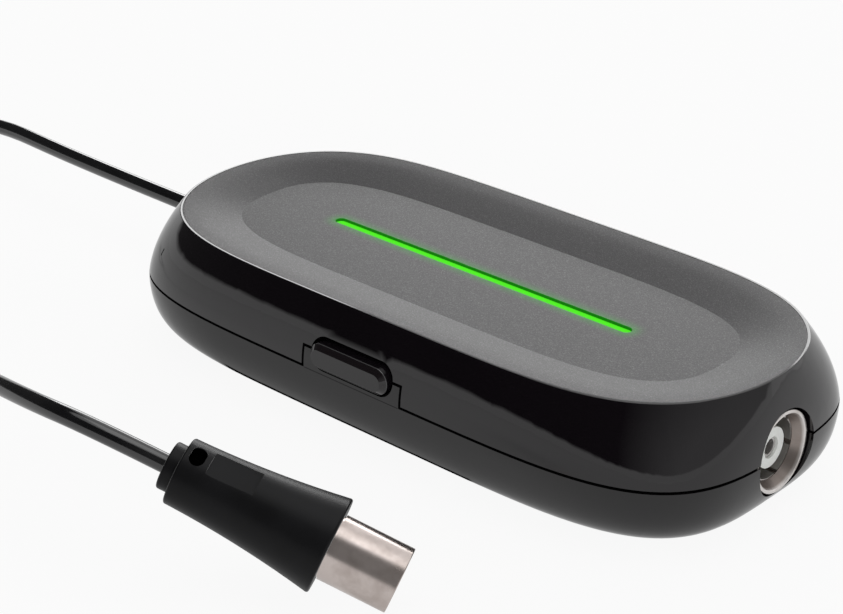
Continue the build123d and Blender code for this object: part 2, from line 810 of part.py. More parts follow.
board_screws = slotted_screws(
    board_points, board_top, board_head_radius, board_head_height, board_screw_radius, board_screw_length, -1
)
board_screws.part.label = "board_screws"
export_step(board_screws.part, "parts/board_screws.step")

clamp_screw_length = clamp_top - lead_seat + board_screw_length
clamp_screws = slotted_screws(
    clamp_points, clamp_top, board_head_radius, board_head_height, board_screw_radius, clamp_screw_length, -1
)
clamp_screws.part.label = "clamp_screws"
export_step(clamp_screws.part, "parts/clamp_screws.step")

# Rubber feet pressed into the recesses over the case screws
with BuildPart() as rubber_feet:
    with BuildSketch(Plane.XY):
        with Locations(*case_points):
            Circle(foot_radius)
    extrude(amount=base_height + foot_recess)
    fillet(rubber_feet.edges().group_by(Axis.Z)[0], foot_round)
rubber_feet.part.label = "rubber_feet"
export_step(rubber_feet.part, "parts/rubber_feet.step")

# Cable gland in the left end, clipped over the wall and its tongue
wall_face = half_sizes(cable_height)[0] + gland_wall_gap
with BuildPart() as cable_gland:
    with BuildSketch(cross_plane(-gland_face)):
        with Locations((0, cable_height)):
            Circle(gland_radius)
    extrude(amount=gland_face - wall_face)
    fillet(cable_gland.edges().sort_by(Axis.X)[0], gland_round)
    with BuildSketch(cross_plane(-wall_face)):
        with Locations((0, cable_height)):
            Circle(gland_neck_radius)
    extrude(amount=wall_face - gland_flange_face)
    with BuildSketch(cross_plane(-gland_flange_face)):
        with Locations((0, cable_height)):
            Circle(gland_flange_radius)
    extrude(amount=gland_flange_thickness)
    with BuildSketch(cross_plane(-gland_face)):
        with Locations((0, cable_height)):
            Circle(cable_radius + fit_gap)
    extrude(amount=gland_face - gland_flange_face + gland_flange_thickness, mode=Mode.SUBTRACT)
cable_gland.part.label = "cable_gland"
export_step(cable_gland.part, "parts/cable_gland.step")

# Cable clamp: a bar over the lead, screwed to two posts
with BuildPart() as cable_clamp:
    with BuildSketch(cross_plane(clamp_x - clamp_thickness / 2)):
        with BuildLine():
            Polyline(
                (-clamp_side, lead_seat),
                (-clamp_side, clamp_top),
                (clamp_side, clamp_top),
                (clamp_side, lead_seat),
                close=True,
            )
        make_face()
        groove_radius = cable_radius + fit_gap
        with Locations((0, cable_height)):
            Circle(groove_radius, mode=Mode.SUBTRACT)
        with Locations((0, (lead_seat + cable_height) / 2)):
            Rectangle(2 * groove_radius, cable_height - lead_seat, mode=Mode.SUBTRACT)
    extrude(amount=clamp_thickness)
    with BuildSketch(Plane.XY.offset(lead_seat)):
        with Locations(*clamp_points):
            Circle(board_screw_radius + fit_gap)
    extrude(amount=clamp_top - lead_seat, mode=Mode.SUBTRACT)
cable_clamp.part.label = "cable_clamp"
export_step(cable_clamp.part, "parts/cable_clamp.step")

# The lead inside the casing, and its bared core that runs down to the board
with BuildPart() as cable_tail:
    with BuildSketch(cross_plane(-gland_face)):
        with Locations((0, cable_height)):
            Circle(cable_radius)
    extrude(amount=gland_face - tail_end)
cable_tail.part.label = "cable_tail"
export_step(cable_tail.part, "parts/cable_tail.step")

wire_rest = board_top + core_wire_radius + fit_gap
wire_points = [
    (-tail_end, 0, cable_height),
    (-tail_end + core_wire_level, 0, cable_height),
    (-tail_end + core_wire_level + core_wire_drop, 0, wire_rest),
    (-tail_end + core_wire_level + core_wire_drop + core_wire_landing, 0, wire_rest),
]


def bend_radii(points):
    """As large a radius for each corner of a route as its two runs allow."""
    radii = []
    for before, corner, after in zip(points, points[1:], points[2:]):
        run_in, run_out = Vector(*corner) - Vector(*before), Vector(*after) - Vector(*corner)
        turn = radians(run_in.get_angle(run_out))
        radii.append(bend_share * min(run_in.length, run_out.length) / tan(turn / 2))
    return radii


def tube_along(points, radius, name):
    """A round tube along a route of straight runs and tangent arcs, with its figures printed."""
    radii = bend_radii(points)
    with BuildPart() as tube:
        with BuildLine() as route:
            FilletPolyline(*points, radius=radii)
        heading = Vector(*points[1]) - Vector(*points[0])
        with BuildSketch(Plane(origin=points[0], z_dir=heading)):
            Circle(radius)
        sweep()
    length = route.wires()[0].length
    plain_volume = pi * radius**2 * length
    print(name, "length", round(length, 1), "radii", [round(r, 1) for r in radii])
    print(name, "volume", round(tube.part.volume, 1), "section times length", round(plain_volume, 1))
    return tube, length


cable_core, _ = tube_along(wire_points, core_wire_radius, "cable core")
cable_core.part.label = "cable_core"
export_step(cable_core.part, "parts/cable_core.step")

# Stored coil: half turns that wind in on the upper layer and out on the lower one
coil_low = tie_thickness + fit_gap + cable_radius
coil_high = coil_low + coil_layer_step
climb_turn = coil_half_turns // 2


def coil_half_radius(turn):
    """Radius of one half turn, smallest at the one where the winding changes layer."""
    return coil_radius - abs(abs(turn - climb_turn) - climb_turn) * coil_pitch / 2


def coil_half_turn_ends():
    """The start and end of each half turn, and the side of the coil that it goes round."""
    ends, y, level = [], 0, coil_high
    for turn in range(coil_half_turns):
        side = -1 if turn % 2 == 0 else 1
        next_y = y + side * 2 * coil_half_radius(turn)
        next_level = coil_low if turn >= climb_turn else coil_high
        ends.append(((coil_x, y, level), (coil_x, next_y, next_level), side))
        y, level = next_y, next_level
    return ends


def half_turn_middle(start, end, side):
    """The point halfway round a half turn."""
    radius = (Vector(*end) - Vector(*start)).length / 2
    return (coil_x + side * radius, (start[1] + end[1]) / 2, (start[2] + end[2]) / 2)


half_turns = coil_half_turn_ends()
coil_in = (coil_x + cable_diameter, half_turns[0][0][1], coil_high)
coil_out = (coil_x + cable_diameter, half_turns[-1][1][1], coil_low)
with BuildPart() as cable_coil:
    with BuildLine() as coil_route:
        Line(coil_in, half_turns[0][0])
        for start, end, side in half_turns:
            ThreePointArc(start, half_turn_middle(start, end, side), end)
        Line(half_turns[-1][1], coil_out)
    with BuildSketch(Plane(origin=coil_in, z_dir=(-1, 0, 0))):
        Circle(cable_radius)
    sweep()
cable_coil.part.label = "cable_coil"
export_step(cable_coil.part, "parts/cable_coil.step")

coil_wire = coil_route.wires()[0]
coil_length = coil_wire.length
sample_count = 600
samples = [coil_wire.position_at(step / sample_count) for step in range(sample_count + 1)]
near_steps = int(sample_count * pi * cable_diameter / coil_length) + 1
coil_gap = min(
    (samples[j] - samples[i]).length
    for i in range(sample_count + 1)
    for j in range(i + near_steps, sample_count + 1)
)
print("cable coil length", round(coil_length, 1), "least gap", round(coil_gap - cable_diameter, 2))
print("cable coil volume", round(cable_coil.part.volume, 1))
print("section times length", round(pi * cable_radius**2 * coil_length, 1))

# Tie round the left side of the coil
with BuildPart() as cable_tie:
    tie_y = (half_turns[0][0][1] + half_turns[-1][1][1]) / 2
    tie_left = coil_x - coil_radius - cable_radius - fit_gap
    tie_right = coil_x - coil_half_radius(climb_turn - 1) + cable_radius + tie_slack
    tie_floor = tie_thickness
    tie_ceiling = coil_high + cable_radius + fit_gap
    tie_span = tie_right - tie_left
    tie_rise = tie_ceiling - tie_floor
    with BuildSketch(Plane.XZ.offset(-tie_y - tie_width / 2)):
        with Locations(((tie_left + tie_right) / 2, (tie_floor + tie_ceiling) / 2)):
            tie_outer = 2 * tie_thickness
            RectangleRounded(tie_span + tie_outer, tie_rise + tie_outer, tie_thickness)
            Rectangle(tie_span, tie_rise, mode=Mode.SUBTRACT)
    extrude(amount=tie_width)
cable_tie.part.label = "cable_tie"
export_step(cable_tie.part, "parts/cable_tie.step")

# Free stretches of the lead: from the gland to the coil, and from the coil to the plug
plug_base = -plug_sleeve_length
plug_rear = plug_base - plug_body_length
collar_rear = plug_rear - plug_collar_length
lead_start = (-gland_face, 0, cable_height)
output_cable, lead_length = tube_along([lead_start, *lead_route, coil_in], cable_radius, "output cable")
output_cable.part.label = "output_cable"
export_step(output_cable.part, "parts/output_cable.step")

lead_knee = (plug_tip + plug_heading * (collar_rear - lead_knee_reach)).to_tuple()
lead_end = (plug_tip + plug_heading * collar_rear).to_tuple()
plug_points = [coil_out, *plug_route, lead_knee, lead_end]
plug_lead, plug_lead_length = tube_along(plug_points, cable_radius, "plug lead")
plug_lead.part.label = "plug_lead"
export_step(plug_lead.part, "parts/plug_lead.step")
print("whole lead", round(lead_length + coil_length + plug_lead_length, 1))

# The plug's pieces are built with the tip at the origin and the heading along X, then put in place
# Plug body: a moulding that flares to its front, with a grip pad and an eye near its rear
waist_x = plug_rear + plug_body_length * plug_waist_share
facing = (0, -cos(radians(grip_tilt)), sin(radians(grip_tilt)))
with BuildPart() as plug_body:
    with BuildSketch(Plane.XZ) as body_profile:
        with BuildLine():
            Line((plug_rear, 0), (plug_rear, plug_rear_radius))
            ThreePointArc(
                (plug_rear, plug_rear_radius),
                (waist_x, plug_waist_radius),
                (plug_base, plug_front_radius),
            )
            Line((plug_base, plug_front_radius), (plug_base, 0))
            Line((plug_base, 0), (plug_rear, 0))
        make_face()
    revolve(axis=Axis.X)
    fillet(plug_body.edges().filter_by(GeomType.CIRCLE), plug_round)
    grip_plane = Plane(origin=(plug_rear + grip_from_rear, 0, 0), x_dir=(1, 0, 0), z_dir=facing)
    with BuildSketch(grip_plane.offset(plug_rear_radius - grip_depth)):
        Rectangle(grip_length, grip_width)
    extrude(amount=overrun, mode=Mode.SUBTRACT)
    eye_plane = Plane(origin=(plug_rear + eye_from_rear, 0, 0), x_dir=(1, 0, 0), z_dir=facing)
    with BuildSketch(eye_plane.offset(plug_rear_radius - eye_depth)):
        SlotOverall(eye_length, eye_width, rotation=90)
    extrude(amount=overrun, mode=Mode.SUBTRACT)
    with BuildSketch(cross_plane(plug_base)):
        Circle(plug_neck_radius + fit_gap)
    extrude(amount=-(plug_sleeve_root + fit_gap), mode=Mode.SUBTRACT)
plug_body.part.move(plug_place)
plug_body.part.label = "plug_body"
export_step(plug_body.part, "parts/plug_body.step")

# Plug collar: the stepped ring where the lead enters the body
with BuildPart() as plug_collar:
    with BuildSketch(cross_plane(collar_rear)):
        Circle(plug_collar_radius)
    extrude(amount=plug_collar_length)
    fillet(plug_collar.edges().sort_by(Axis.X)[0], plug_round)
plug_collar.part.move(plug_place)
plug_collar.part.label = "plug_collar"
export_step(plug_collar.part, "parts/plug_collar.step")

# Plug contacts: the outer sleeve on its neck, the disc that holds the pin, and the pin
with BuildPart() as plug_sleeve:
    with BuildSketch(cross_plane(plug_base + plug_neck_reach)):
        Circle(plug_sleeve_radius)
    extrude(amount=plug_sleeve_length - plug_neck_reach)
    fillet(plug_sleeve.edges().sort_by(Axis.X)[-1], part_gap)
    with BuildSketch(cross_plane(plug_base - plug_sleeve_root)):
        Circle(plug_neck_radius)
    extrude(amount=plug_sleeve_root + plug_neck_reach)
    with BuildSketch(cross_plane(plug_base - plug_sleeve_root)):
        Circle(plug_sleeve_bore)
    extrude(amount=plug_sleeve_root + plug_sleeve_length, mode=Mode.SUBTRACT)
plug_sleeve.part.move(plug_place)
plug_sleeve.part.label = "plug_sleeve"
export_step(plug_sleeve.part, "parts/plug_sleeve.step")

disc_face = -plug_disc_depth
with BuildPart() as plug_insulator:
    with BuildSketch(cross_plane(plug_base - plug_sleeve_root)):
        Circle(plug_sleeve_bore - fit_gap)
        Circle(plug_pin_radius + fit_gap, mode=Mode.SUBTRACT)
    extrude(amount=disc_face - plug_base + plug_sleeve_root)
plug_insulator.part.move(plug_place)
plug_insulator.part.label = "plug_insulator"
export_step(plug_insulator.part, "parts/plug_insulator.step")

with BuildPart() as plug_pin:
    with BuildSketch(cross_plane(plug_base - plug_sleeve_root)):
        Circle(plug_pin_radius)
    extrude(amount=plug_sleeve_root + plug_sleeve_length - plug_pin_set_back)
    fillet(plug_pin.edges().sort_by(Axis.X)[-1], plug_pin_radius / 2)
plug_pin.part.move(plug_place)
plug_pin.part.label = "plug_pin"
export_step(plug_pin.part, "parts/plug_pin.step")
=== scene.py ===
from math import cos, pi, radians, sin

import bmesh
import bpy
from mathutils import Matrix, Vector


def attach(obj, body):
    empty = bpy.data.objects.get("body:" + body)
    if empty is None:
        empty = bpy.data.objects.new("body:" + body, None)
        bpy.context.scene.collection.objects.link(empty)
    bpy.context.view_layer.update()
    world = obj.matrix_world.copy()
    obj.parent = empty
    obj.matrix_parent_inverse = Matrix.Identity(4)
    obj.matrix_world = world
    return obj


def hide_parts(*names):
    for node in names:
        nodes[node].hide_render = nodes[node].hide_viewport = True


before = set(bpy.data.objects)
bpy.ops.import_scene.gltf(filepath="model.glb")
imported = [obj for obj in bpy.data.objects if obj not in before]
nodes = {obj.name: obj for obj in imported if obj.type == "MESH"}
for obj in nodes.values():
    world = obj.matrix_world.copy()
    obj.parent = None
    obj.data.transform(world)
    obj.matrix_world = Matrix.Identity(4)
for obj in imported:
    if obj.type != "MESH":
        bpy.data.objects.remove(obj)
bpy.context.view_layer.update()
mm = 0.001
print("frame loaded:", len(nodes), "nodes")


# Camera
camera = {
    "azimuth": 0.733,  # radians, from the front towards the socket
    "elevation": 0.453,
    "roll": 0.009,
    "distance": 330.8 * mm,
    "target": (-3.10 * mm, -9.36 * mm, 16.6 * mm),
    "focalPixels": 2108.8,  # pixels of an image as wide as below
    "imageWidth": 843,
    "sensor": 36,
    "clipStart": 0.01,
    "clipEnd": 10,
}


def makeCamera(settings):
    turn, rise, lean = settings["azimuth"], settings["elevation"], settings["roll"]
    back = Vector((sin(turn) * cos(rise), -cos(turn) * cos(rise), sin(rise)))
    level = Vector((cos(turn), sin(turn), 0))
    upright = back.cross(level)
    right = cos(lean) * level + sin(lean) * upright
    up = -sin(lean) * level + cos(lean) * upright
    data = bpy.data.cameras.new("productCamera")
    data.sensor_width = settings["sensor"]
    data.lens = settings["focalPixels"] * settings["sensor"] / settings["imageWidth"]
    data.clip_start, data.clip_end = settings["clipStart"], settings["clipEnd"]
    eye = bpy.data.objects.new("productCamera", data)
    bpy.context.collection.objects.link(eye)
    turned = Matrix((right, up, back)).transposed().to_4x4()
    place = Vector(settings["target"]) + settings["distance"] * back
    eye.matrix_world = Matrix.Translation(place) @ turned
    bpy.context.scene.camera = eye


makeCamera(camera)
print("camera placed")

# Node helpers
white = (1, 1, 1, 1)
black = (0, 0, 0, 1)
noiseMiddle = 0.5
# the Mix node's sockets for colours go by number
mixShare, mixFirst, mixSecond, mixResult = 0, 6, 7, 2


def feed(tree, socket, value):
    # links a socket to a socket, and writes any other value
    if hasattr(value, "is_linked"):
        tree.links.new(value, socket)
    else:
        socket.default_value = value


def addNode(tree, kind, inputs=None, **settings):
    node = tree.nodes.new("ShaderNode" + kind)
    for key, value in settings.items():
        setattr(node, key, value)
    for key, value in (inputs or {}).items():
        feed(tree, node.inputs[key], value)
    return node


def mathNode(tree, operation, *values, clamp=False):
    inputs = dict(enumerate(values))
    return addNode(tree, "Math", inputs, operation=operation, use_clamp=clamp).outputs[0]


def vectorNode(tree, operation, *values):
    return addNode(tree, "VectorMath", dict(enumerate(values)), operation=operation)


def mixColour(tree, share, first, second, blend="MIX"):
    inputs = {mixShare: share, mixFirst: first, mixSecond: second}
    return addNode(tree, "Mix", inputs, data_type="RGBA", blend_type=blend).outputs[mixResult]


def stretch(tree, value, low, high, outLow=0.0, outHigh=1.0):
    inputs = {"Value": value, "From Min": low, "From Max": high, "To Min": outLow, "To Max": outHigh}
    return addNode(tree, "MapRange", inputs).outputs["Result"]


def objectPlace(tree):
    return addNode(tree, "TexCoord").outputs["Object"]


def placeParts(tree):
    return addNode(tree, "SeparateXYZ", {"Vector": objectPlace(tree)}).outputs


def noise(tree, place, scale, **inputs):
    return addNode(tree, "TexNoise", {"Vector": place, "Scale": scale, **inputs}).outputs["Fac"]


def rgba(colour):
    return (*colour, 1)


# Shared finishes
def newGroup(name, inputs, outputs):
    group = bpy.data.node_groups.new(name, "ShaderNodeTree")
    for side, sockets in (("INPUT", inputs), ("OUTPUT", outputs)):
        for label, kind in sockets.items():
            group.interface.new_socket(label, in_out=side, socket_type="NodeSocket" + kind)
    return group, group.nodes.new("NodeGroupInput").outputs, group.nodes.new("NodeGroupOutput").inputs


mouldedShape = {"driftDetail": 3.0, "grainDetail": 2.0, "driftRange": (0.35, 0.65)}


def makeMouldedFinish(shape):
    # slow colour drift, fine grain, and roughness that varies a little
    group, given, sent = newGroup(
        "mouldedFinish",
        {"Colour": "Color", "Drift Colour": "Color", "Roughness": "Float", "Spread": "Float",
         "Grain Scale": "Float", "Drift Scale": "Float"},
        {"Colour": "Color", "Roughness": "Float", "Height": "Float"},
    )
    place = objectPlace(group)
    drift = noise(group, place, given["Drift Scale"], Detail=shape["driftDetail"])
    grain = noise(group, place, given["Grain Scale"], Detail=shape["grainDetail"])
    slow = stretch(group, drift, *shape["driftRange"])
    swing = mathNode(group, "MULTIPLY", mathNode(group, "SUBTRACT", drift, noiseMiddle), given["Spread"])
    feed(group, sent["Colour"], mixColour(group, slow, given["Colour"], given["Drift Colour"]))
    feed(group, sent["Roughness"], mathNode(group, "ADD", given["Roughness"], swing, clamp=True))
    feed(group, sent["Height"], grain)
    return group


fleckShape = {"detail": 1.5, "roughness": 0.7, "shift": (0.31, 0.17, 0.05), "range": (0.5, 0.72)}


def makeFleckedLacquer(shape):
    # light and dark flecks over a base colour
    group, given, sent = newGroup(
        "fleckedLacquer",
        {"Base": "Color", "Light Fleck": "Color", "Dark Fleck": "Color", "Fleck Scale": "Float",
         "Amount": "Float"},
        {"Colour": "Color", "Height": "Float", "Sparkle": "Float"},
    )
    grains = {"Detail": shape["detail"], "Roughness": shape["roughness"]}
    place = objectPlace(group)
    shifted = addNode(group, "Mapping", {"Vector": place, "Location": shape["shift"]}).outputs[0]
    fleck = noise(group, place, given["Fleck Scale"], **grains)
    other = noise(group, shifted, given["Fleck Scale"], **grains)
    light = mathNode(group, "MULTIPLY", stretch(group, fleck, *shape["range"]), given["Amount"])
    dark = mathNode(group, "MULTIPLY", stretch(group, other, *shape["range"]), given["Amount"])
    colour = mixColour(group, light, given["Base"], given["Light Fleck"])
    feed(group, sent["Colour"], mixColour(group, dark, colour, given["Dark Fleck"]))
    feed(group, sent["Height"], fleck)
    feed(group, sent["Sparkle"], light)
    return group


platedShape = {
    "patchScale": 260.0,
    "patchDetail": 4.0,
    "lineScale": 1.0,
    "lineDetail": 2.0,
    "tarnishRange": (0.42, 0.7),
    "patchShare": 0.5,  # of the spread, added to the roughness of the patches
}


def makePlatedMetal(shape):
    # tarnish in slow patches, and fine lines along one axis
    group, given, sent = newGroup(
        "platedMetal",
        {"Colour": "Color", "Tarnish": "Color", "Roughness": "Float", "Spread": "Float",
         "Line Scale": "Vector"},
        {"Colour": "Color", "Roughness": "Float", "Height": "Float"},
    )
    place = objectPlace(group)
    patch = noise(group, place, shape["patchScale"], Detail=shape["patchDetail"])
    scaled = vectorNode(group, "MULTIPLY", place, given["Line Scale"]).outputs[0]
    lines = noise(group, scaled, shape["lineScale"], Detail=shape["lineDetail"])
    share = stretch(group, patch, *shape["tarnishRange"])
    swing = mathNode(group, "MULTIPLY", mathNode(group, "SUBTRACT", lines, noiseMiddle), given["Spread"])
    patchy = mathNode(group, "MULTIPLY", given["Spread"], shape["patchShare"])
    patchy = mathNode(group, "MULTIPLY", share, patchy)
    rough = mathNode(group, "ADD", given["Roughness"], swing)
    feed(group, sent["Colour"], mixColour(group, share, given["Colour"], given["Tarnish"]))
    feed(group, sent["Roughness"], mathNode(group, "ADD", rough, patchy, clamp=True))
    feed(group, sent["Height"], lines)
    return group


mouldedFinish = makeMouldedFinish(mouldedShape)
fleckedLacquer = makeFleckedLacquer(fleckShape)
platedMetal = makePlatedMetal(platedShape)


# Material makers
def startMaterial(name, constants):
    material = bpy.data.materials.new(name)
    material.use_nodes = True
    tree = material.node_tree
    shader = tree.nodes["Principled BSDF"].inputs
    for key, value in constants.items():
        shader[key].default_value = value
    return material, tree, shader


def useGroup(tree, group, inputs):
    return addNode(tree, "Group", inputs, node_tree=group).outputs


def bumpInto(tree, shader, height, look):
    inputs = {"Strength": look["bump"], "Distance": look["depth"], "Height": height}
    feed(tree, shader["Normal"], addNode(tree, "Bump", inputs).outputs["Normal"])


def wearFinish(tree, shader, finish, look):
    feed(tree, shader["Base Color"], finish["Colour"])
    feed(tree, shader["Roughness"], finish["Roughness"])
    bumpInto(tree, shader, finish["Height"], look)


# what a look leaves out: grain, slow and lines are noise scales, and depth is the height of the bump
mouldedUsual = {"spread": 0.06, "grain": 3000.0, "slow": 60.0, "bump": 0.05, "depth": 0.01 * mm, "shader": {}}
platedUsual = {"spread": 0.1, "lines": (400.0, 9000.0, 9000.0), "bump": 0.04, "depth": 0.01 * mm}


def moulded(name, look):
    look = {**mouldedUsual, **look}
    material, tree, shader = startMaterial(name, look["shader"])
    finish = useGroup(tree, mouldedFinish, {
        "Colour": rgba(look["colour"]), "Drift Colour": rgba(look["drift"]), "Roughness": look["roughness"],
        "Spread": look["spread"], "Grain Scale": look["grain"], "Drift Scale": look["slow"],
    })
    wearFinish(tree, shader, finish, look)
    return material


def plated(name, look):
    look = {**platedUsual, **look}
    material, tree, shader = startMaterial(name, {"Metallic": 1.0})
    finish = useGroup(tree, platedMetal, {
        "Colour": rgba(look["colour"]), "Tarnish": rgba(look["tarnish"]), "Roughness": look["roughness"],
        "Spread": look["spread"], "Line Scale": look["lines"],
    })
    wearFinish(tree, shader, finish, look)
    return material


# Plain materials
mouldedLooks = {
    "glossBlack": {"colour": (0.0052, 0.0040, 0.0052), "drift": (0.0064, 0.0050, 0.0064), "roughness": 0.035,
                   "spread": 0.03, "grain": 900.0, "slow": 25.0, "bump": 0.02, "depth": 0.004 * mm,
                   "shader": {"IOR": 1.53}},
    "buttonGloss": {"colour": (0.0052, 0.0040, 0.0052), "drift": (0.0064, 0.0050, 0.0064), "roughness": 0.035,
                    "spread": 0.03, "grain": 1200.0, "slow": 40.0, "bump": 0.02, "depth": 0.004 * mm,
                    "shader": {"IOR": 1.54}},
    "baseGloss": {"colour": (0.004, 0.0034, 0.004), "drift": (0.005, 0.0043, 0.005), "roughness": 0.06,
                  "spread": 0.05, "grain": 1500.0, "slow": 30.0, "bump": 0.03, "depth": 0.004 * mm,
                  "shader": {"IOR": 1.51}},
    "clearGuide": {"colour": (0.55, 0.8, 0.5), "drift": (0.6, 0.85, 0.55), "roughness": 0.12, "grain": 1500.0},
    "diodeResin": {"colour": (0.75, 0.75, 0.5), "drift": (0.7, 0.68, 0.4), "roughness": 0.25, "grain": 2500.0},
    "whiteCore": {"colour": (0.95, 0.97, 0.94), "drift": (0.92, 0.94, 0.91), "roughness": 0.38,
                  "grain": 1800.0, "slow": 300.0, "bump": 0.06},
    "plugCore": {"colour": (0.03, 0.03, 0.03), "drift": (0.05, 0.05, 0.05), "roughness": 0.5},
    "plugBlack": {"colour": (0.006, 0.006, 0.0065), "drift": (0.009, 0.009, 0.010), "roughness": 0.40,
                  "spread": 0.12, "grain": 2600.0, "slow": 120.0, "bump": 0.04, "depth": 0.008 * mm,
                  "shader": {"Specular IOR Level": 0.14}},
    "glandBlack": {"colour": (0.010, 0.010, 0.011), "drift": (0.014, 0.014, 0.015), "roughness": 0.30,
                   "grain": 2400.0},
    "tieBlack": {"colour": (0.014, 0.014, 0.014), "drift": (0.02, 0.02, 0.02), "roughness": 0.42,
                 "grain": 2200.0, "bump": 0.1},
    "boardGreen": {"colour": (0.012, 0.11, 0.035), "drift": (0.02, 0.17, 0.055), "roughness": 0.32,
                   "spread": 0.15, "grain": 2200.0, "slow": 500.0},
    "chipBlack": {"colour": (0.015, 0.015, 0.015), "drift": (0.025, 0.025, 0.025), "roughness": 0.55,
                  "grain": 4000.0, "bump": 0.2},
    "jackBlack": {"colour": (0.012, 0.012, 0.012), "drift": (0.02, 0.02, 0.02), "roughness": 0.45,
                  "grain": 3500.0, "bump": 0.15},
    "switchBlack": {"colour": (0.02, 0.02, 0.02), "drift": (0.03, 0.03, 0.03), "roughness": 0.5, "bump": 0.1},
    "plungerBrown": {"colour": (0.12, 0.055, 0.025), "drift": (0.16, 0.08, 0.04), "roughness": 0.4},
    "ferriteGrey": {"colour": (0.035, 0.035, 0.038), "drift": (0.055, 0.055, 0.058), "roughness": 0.6,
                    "grain": 3500.0, "bump": 0.25, "depth": 0.03 * mm},
    "footRubber": {"colour": (0.018, 0.018, 0.018), "drift": (0.03, 0.03, 0.03), "roughness": 0.72,
                   "grain": 1800.0, "bump": 0.35, "depth": 0.04 * mm},
    "jacket": {"colour": (0.008, 0.008, 0.009), "drift": (0.012, 0.012, 0.013), "roughness": 0.14,
               "grain": 1400.0, "slow": 150.0, "bump": 0.04, "depth": 0.008 * mm, "shader": {"IOR": 1.7}},
}
platedLooks = {
    "nickel": {"colour": (0.72, 0.69, 0.67), "tarnish": (0.60, 0.56, 0.53), "roughness": 0.34, "spread": 0.08},
    "contactPin": {"colour": (0.62, 0.61, 0.60), "tarnish": (0.54, 0.52, 0.50), "roughness": 0.6},
    "plugNickel": {"colour": (0.60, 0.53, 0.50), "tarnish": (0.42, 0.36, 0.33), "roughness": 0.22},
    "sleeveNickel": {"colour": (0.74, 0.72, 0.70), "tarnish": (0.58, 0.56, 0.54), "roughness": 0.38,
                     "spread": 0.12},
    "platedPin": {"colour": (0.55, 0.54, 0.52), "tarnish": (0.42, 0.40, 0.37), "roughness": 0.28},
    "tinnedSteel": {"colour": (0.62, 0.62, 0.60), "tarnish": (0.5, 0.5, 0.48), "roughness": 0.33,
                    "lines": (2500.0, 300.0, 2500.0)},
    "copperWire": {"colour": (0.72, 0.30, 0.14), "tarnish": (0.52, 0.19, 0.09), "roughness": 0.25,
                   "lines": (9000.0, 800.0, 800.0)},
    "canAluminium": {"colour": (0.58, 0.58, 0.6), "tarnish": (0.45, 0.45, 0.47), "roughness": 0.3},
    "steelScrew": {"colour": (0.5, 0.5, 0.51), "tarnish": (0.36, 0.36, 0.37), "roughness": 0.3,
                   "lines": (4000.0, 4000.0, 500.0)},
}
materials = {name: moulded(name, look) for name, look in mouldedLooks.items()}
materials.update({name: plated(name, look) for name, look in platedLooks.items()})

# Lower shell
baseEdgeShade = {
    "facingBlend": 0.5,
    "turned": (0.34, 0.80),  # where the gloss starts to fall, and where it is least
    "leftReach": (-56 * mm, -30 * mm),  # none at the first x, all from the second
    "rightReach": (46 * mm, 22 * mm),
    "quiet": 0.0,  # gloss left at the turn
    # the crease is a painted shade line in the gloss
    "creaseHeight": 11.05 * mm,
    "creaseHalf": 0.07 * mm,
    "creaseLength": 9.8 * mm,
    "creaseLevel": 0.35,
}


def paintBaseEdgeShade(material, look):
    # painted shade: the underside's turn mirrors less along the front, as if it mirrored the floor's shadow
    # under the body, and a painted shade line in the gloss marks a faint crease along the seam under the tab
    tree = material.node_tree
    level = tree.nodes["Principled BSDF"].inputs["Specular IOR Level"]
    x, y, z = placeParts(tree)
    front = mathNode(tree, "LESS_THAN", y, 0.0)
    facing = addNode(tree, "LayerWeight", {"Blend": look["facingBlend"]}).outputs["Facing"]
    turned = stretch(tree, facing, *look["turned"])
    for share in (stretch(tree, x, *look["leftReach"]), stretch(tree, x, *look["rightReach"]), front):
        turned = mathNode(tree, "MULTIPLY", turned, share)
    kept = stretch(tree, turned, 0.0, 1.0, level.default_value, look["quiet"])
    above = mathNode(tree, "ABSOLUTE", mathNode(tree, "SUBTRACT", z, look["creaseHeight"]))
    along = mathNode(tree, "LESS_THAN", mathNode(tree, "ABSOLUTE", x), look["creaseLength"])
    crease = mathNode(tree, "LESS_THAN", above, look["creaseHalf"])
    for share in (along, front, look["creaseLevel"]):
        crease = mathNode(tree, "MULTIPLY", crease, share)
    feed(tree, level, mathNode(tree, "SUBTRACT", kept, crease, clamp=True))


paintBaseEdgeShade(materials["baseGloss"], baseEdgeShade)

# Button
# painted reflection on the button's bevel and a painted highlight along its edge
buttonEdgeLight = {
    "bevelFrom": -29.16 * mm,
    "bevelTo": -29.925 * mm,
    "bevelReflection": (0.0115, 0.0092, 0.0104),
    "highlightMiddle": -29.13 * mm,
    "highlightHalf": 0.075 * mm,
    "highlightColour": (0.075, 0.073, 0.075),
}


def paintButtonEdgeLight(material, look):
    # painted light: the bevel is painted a little paler than the cap as a painted reflection, with a fine pale
    # painted highlight along its outer edge
    tree = material.node_tree
    base = tree.nodes["Principled BSDF"].inputs["Base Color"]
    y = placeParts(tree)["Y"]
    outside = mathNode(tree, "LESS_THAN", y, look["bevelFrom"])
    inside = mathNode(tree, "GREATER_THAN", y, look["bevelTo"])
    bevel = mathNode(tree, "MULTIPLY", outside, inside)
    aside = mathNode(tree, "ABSOLUTE", mathNode(tree, "SUBTRACT", y, look["highlightMiddle"]))
    line = mathNode(tree, "LESS_THAN", aside, look["highlightHalf"])
    colour = mixColour(tree, bevel, base.links[0].from_socket, rgba(look["bevelReflection"]))
    feed(tree, base, mixColour(tree, line, colour, rgba(look["highlightColour"])))


paintButtonEdgeLight(materials["buttonGloss"], buttonEdgeLight)

